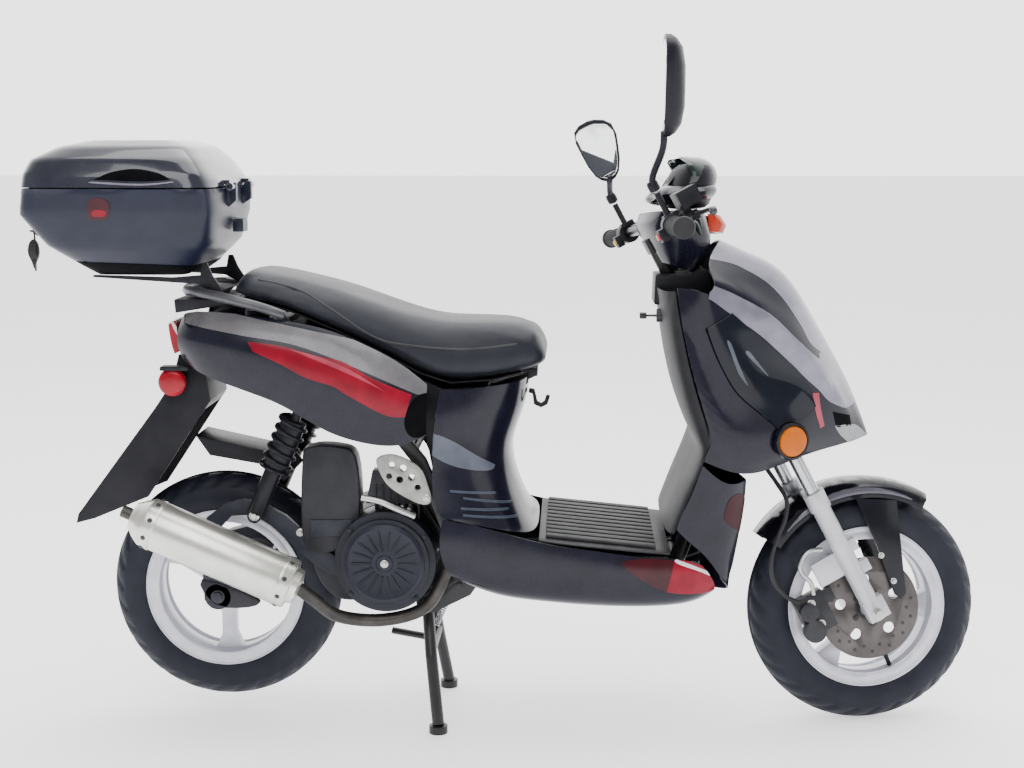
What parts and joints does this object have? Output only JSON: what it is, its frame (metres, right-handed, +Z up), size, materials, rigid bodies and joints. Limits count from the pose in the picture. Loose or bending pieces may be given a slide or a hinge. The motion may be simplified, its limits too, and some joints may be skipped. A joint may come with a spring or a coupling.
{
  "type": "moped scooter",
  "caption": "Step-through moped scooter on its centre stand, with a fork, swinging engine unit, hinged seat and top case.",
  "frame": {"origin": "middle of the machine's length and width, on the ground that the front tyre and the centre stand's feet rest on", "axes": "+X forward along the machine's length, +Y to the rider's left, +Z up"},
  "size_m": [1.7589, 0.6759, 1.2447],
  "materials": {
    "frame_steel": "satin black paint",
    "grey_trim": "moulded grey plastic",
    "body_gloss": "gloss graphite paint over plastic",
    "smoked_lens": "smoked glass-clear plastic",
    "signal_lens": "clear orange plastic",
    "floor_grey": "ribbed grey rubber mat on plastic",
    "red_lens": "clear red plastic",
    "rail_grey": "grey painted tube",
    "black_plastic": "moulded black plastic",
    "case_plastic": "satin navy black plastic",
    "case_gloss": "gloss dark grey plastic",
    "seat_vinyl": "black vinyl",
    "key_metal": "steel with black plastic bow",
    "spring_steel": "coiled wire",
    "steering_steel": "steel tube",
    "bar_chrome": "chromed tube",
    "black_gloss": "gloss black plastic",
    "rubber_black": "black rubber",
    "lever_metal": "black coated aluminium",
    "mirror_shell": "black shell with a mirror glass",
    "button_red": "red plastic",
    "button_yellow": "yellow plastic",
    "fork_silver": "silver painted cast legs",
    "caliper_black": "black coated casting",
    "tyre": "treaded black rubber",
    "rim_silver": "silver painted cast wheel",
    "disc_steel": "ground steel",
    "engine_cast": "dark grey cast metal",
    "shroud_black": "moulded dark plastic",
    "fan_grey": "moulded slate plastic",
    "muffler_silver": "embossed bright cover",
    "kicker_chrome": "chromed steel",
    "shock_black": "black shock with a coil spring"
  },
  "bodies": {
    "chassis": {"frame": "frame_steel", "leg_shield": "grey_trim", "front_apron": "body_gloss", "lower_cowl": "body_gloss", "headlight": "smoked_lens", "turn_signals": "signal_lens", "floorboard": "floor_grey", "belly_pan": "body_gloss", "under_seat_panel": "body_gloss", "side_panel_right": "body_gloss", "side_panel_left": "body_gloss", "tail_light": "red_lens", "grab_rail": "rail_grey", "case_rack": "black_plastic", "rear_mudguard": "black_plastic", "helmet_bucket": "black_plastic", "fuel_tank": "frame_steel", "bag_hook": "black_plastic", "case_base": "case_plastic", "stand_spring": "spring_steel"},
    "steering": {"steering_stem": "steering_steel", "handlebar": "bar_chrome", "handlebar_cover": "body_gloss", "instrument_pod": "black_gloss", "left_grip": "rubber_black", "brake_perches": "black_plastic"},
    "throttle": {"throttle_grip": "rubber_black"},
    "right_lever": {"right_brake_lever": "lever_metal"},
    "left_lever": {"left_brake_lever": "lever_metal"},
    "mirror_right": {"right_mirror": "mirror_shell"},
    "mirror_left": {"left_mirror": "mirror_shell"},
    "starter": {"starter_button": "button_red"},
    "horn": {"horn_button": "button_yellow"},
    "fork": {"fork_lowers": "fork_silver", "front_fender": "black_gloss", "brake_caliper": "caliper_black", "brake_hose": "rubber_black"},
    "front_wheel": {"front_tyre": "tyre", "front_rim": "rim_silver", "brake_disc": "disc_steel"},
    "engine": {"crankcase": "engine_cast", "belt_cover": "engine_cast", "cylinder_head": "engine_cast", "fan_shroud": "shroud_black", "exhaust": "muffler_silver", "swing_arm": "engine_cast", "rear_hugger": "black_plastic"},
    "crankshaft": {"cooling_fan": "fan_grey"},
    "kicker": {"kick_starter": "kicker_chrome"},
    "rear_wheel": {"rear_tyre": "tyre", "rear_rim": "rim_silver"},
    "shock_tops": {"shock_upper": "shock_black"},
    "shock_feet": {"shock_lower": "shock_black"},
    "stand": {"centre_stand": "frame_steel"},
    "seat": {"seat_pad": "seat_vinyl", "seat_base": "black_plastic"},
    "lid": {"case_lid": "case_gloss"},
    "keys": {"case_keys": "key_metal"},
    "ignition": {"ignition_key": "key_metal"},
    "cap": {"fuel_cap": "black_plastic"}
  },
  "joints": [
    {"name": "steering_turn", "type": "hinge", "parent": "chassis", "child": "steering", "pos_m": [0.26, 0, 0.9], "axis": [-0.4695, 0, 0.8829], "range_deg": [-48, 30]},
    {"name": "throttle_turn", "type": "hinge", "parent": "steering", "child": "throttle", "pos_m": [0.29045, -0.18572, 0.92978], "axis": [0.0732, -0.9972, 0.0158], "range_deg": [-65, 0], "stiffness_Nm_per_rad": 0.3, "springref_deg": 17.19},
    {"name": "right_lever_pull", "type": "hinge", "parent": "steering", "child": "right_lever", "pos_m": [0.32718, -0.18967, 0.93572], "axis": [0.4695, 0, -0.8829], "range_deg": [0, 11], "stiffness_Nm_per_rad": 2, "springref_deg": -8.59},
    {"name": "left_lever_pull", "type": "hinge", "parent": "steering", "child": "left_lever", "pos_m": [0.26586, 0.20425, 0.90311], "axis": [-0.4695, 0, 0.8829], "range_deg": [0, 11], "stiffness_Nm_per_rad": 2, "springref_deg": -8.59},
    {"name": "right_mirror_turn", "type": "hinge", "parent": "steering", "child": "mirror_right", "pos_m": [0.29762, -0.19557, 0.92], "axis": [-0.4695, 0, 0.8829], "range_deg": [-30, 60]},
    {"name": "left_mirror_turn", "type": "hinge", "parent": "steering", "child": "mirror_left", "pos_m": [0.23629, 0.19835, 0.88739], "axis": [-0.4695, 0, 0.8829], "range_deg": [-60, 30]},
    {"name": "starter_press", "type": "slide", "parent": "steering", "child": "starter", "axis": [0.8695, 0.1736, 0.4623], "range_m": [0, 0.002], "stiffness_N_per_m": 400, "springref_m": -0.001},
    {"name": "horn_press", "type": "slide", "parent": "steering", "child": "horn", "axis": [0.8695, 0.1736, 0.4623], "range_m": [0, 0.002], "stiffness_N_per_m": 400, "springref_m": -0.001},
    {"name": "fork_slide", "type": "slide", "parent": "steering", "child": "fork", "axis": [-0.4695, 0, 0.8829], "range_m": [0, 0.05], "stiffness_N_per_m": 12000, "springref_m": -0.03},
    {"name": "front_wheel_spin", "type": "hinge", "parent": "fork", "child": "front_wheel", "pos_m": [0.66303, 0.00608, 0.21543], "axis": [-0.1533, 0.9848, -0.0815], "continuous": true},
    {"name": "engine_swing", "type": "hinge", "parent": "chassis", "child": "engine", "pos_m": [-0.085, 0, 0.262], "axis": [0, 1, 0], "range_deg": [0, 7], "stiffness_Nm_per_rad": 4500, "springref_deg": -2.86},
    {"name": "rear_wheel_spin", "type": "hinge", "parent": "engine", "child": "rear_wheel", "pos_m": [-0.52697, 0, 0.244], "axis": [0, 1, 0], "continuous": true},
    {"name": "crankshaft_spin", "type": "hinge", "parent": "engine", "child": "crankshaft", "pos_m": [-0.214, 0, 0.32], "axis": [0, 1, 0], "continuous": true},
    {"name": "kick_starter_push", "type": "hinge", "parent": "engine", "child": "kicker", "pos_m": [-0.29, 0, 0.285], "axis": [0, -1, 0], "range_deg": [0, 45], "stiffness_Nm_per_rad": 3, "springref_deg": -28.65},
    {"name": "shock_tops_lean", "type": "hinge", "parent": "chassis", "child": "shock_tops", "pos_m": [-0.366, 0, 0.6], "axis": [0, 1, 0], "range_deg": [-0.5, 0.3]},
    {"name": "shock_feet_slide", "type": "slide", "parent": "shock_tops", "child": "shock_feet", "axis": [0.3945, 0, 0.9189], "range_m": [-0.001, 0.049]},
    {"name": "centre_stand_fold", "type": "hinge", "parent": "chassis", "child": "stand", "pos_m": [-0.147, 0, 0.228], "axis": [0, 1, 0], "range_deg": [0, 60], "deforming": ["stand_spring"]},
    {"name": "seat_open", "type": "hinge", "parent": "chassis", "child": "seat", "pos_m": [0.05, 0, 0.655], "axis": [0, 1, 0], "range_deg": [0, 75]},
    {"name": "case_lid_open", "type": "hinge", "parent": "chassis", "child": "lid", "pos_m": [-0.489, 0, 0.992], "axis": [0, 1, 0], "range_deg": [0, 85]},
    {"name": "key_ring_swing", "type": "hinge", "parent": "chassis", "child": "keys", "pos_m": [-0.874, 0, 0.908], "axis": [1, 0, 0], "range_deg": [-90, 90]},
    {"name": "ignition_turn", "type": "hinge", "parent": "chassis", "child": "ignition", "pos_m": [0.276, -0.062, 0.762], "axis": [1, 0, 0], "range_deg": [-90, 0]},
    {"name": "fuel_cap_turn", "type": "hinge", "parent": "chassis", "child": "cap", "pos_m": [-0.458, 0, 0.74], "axis": [0, 0, 1], "range_deg": [0, 90]}
  ],
  "couplings": [
    {"joint": "shock_tops_lean", "follows": "engine_swing", "ratio": -0.024},
    {"joint": "shock_feet_slide", "follows": "engine_swing", "m_per_rad": 0.392}
  ]
}
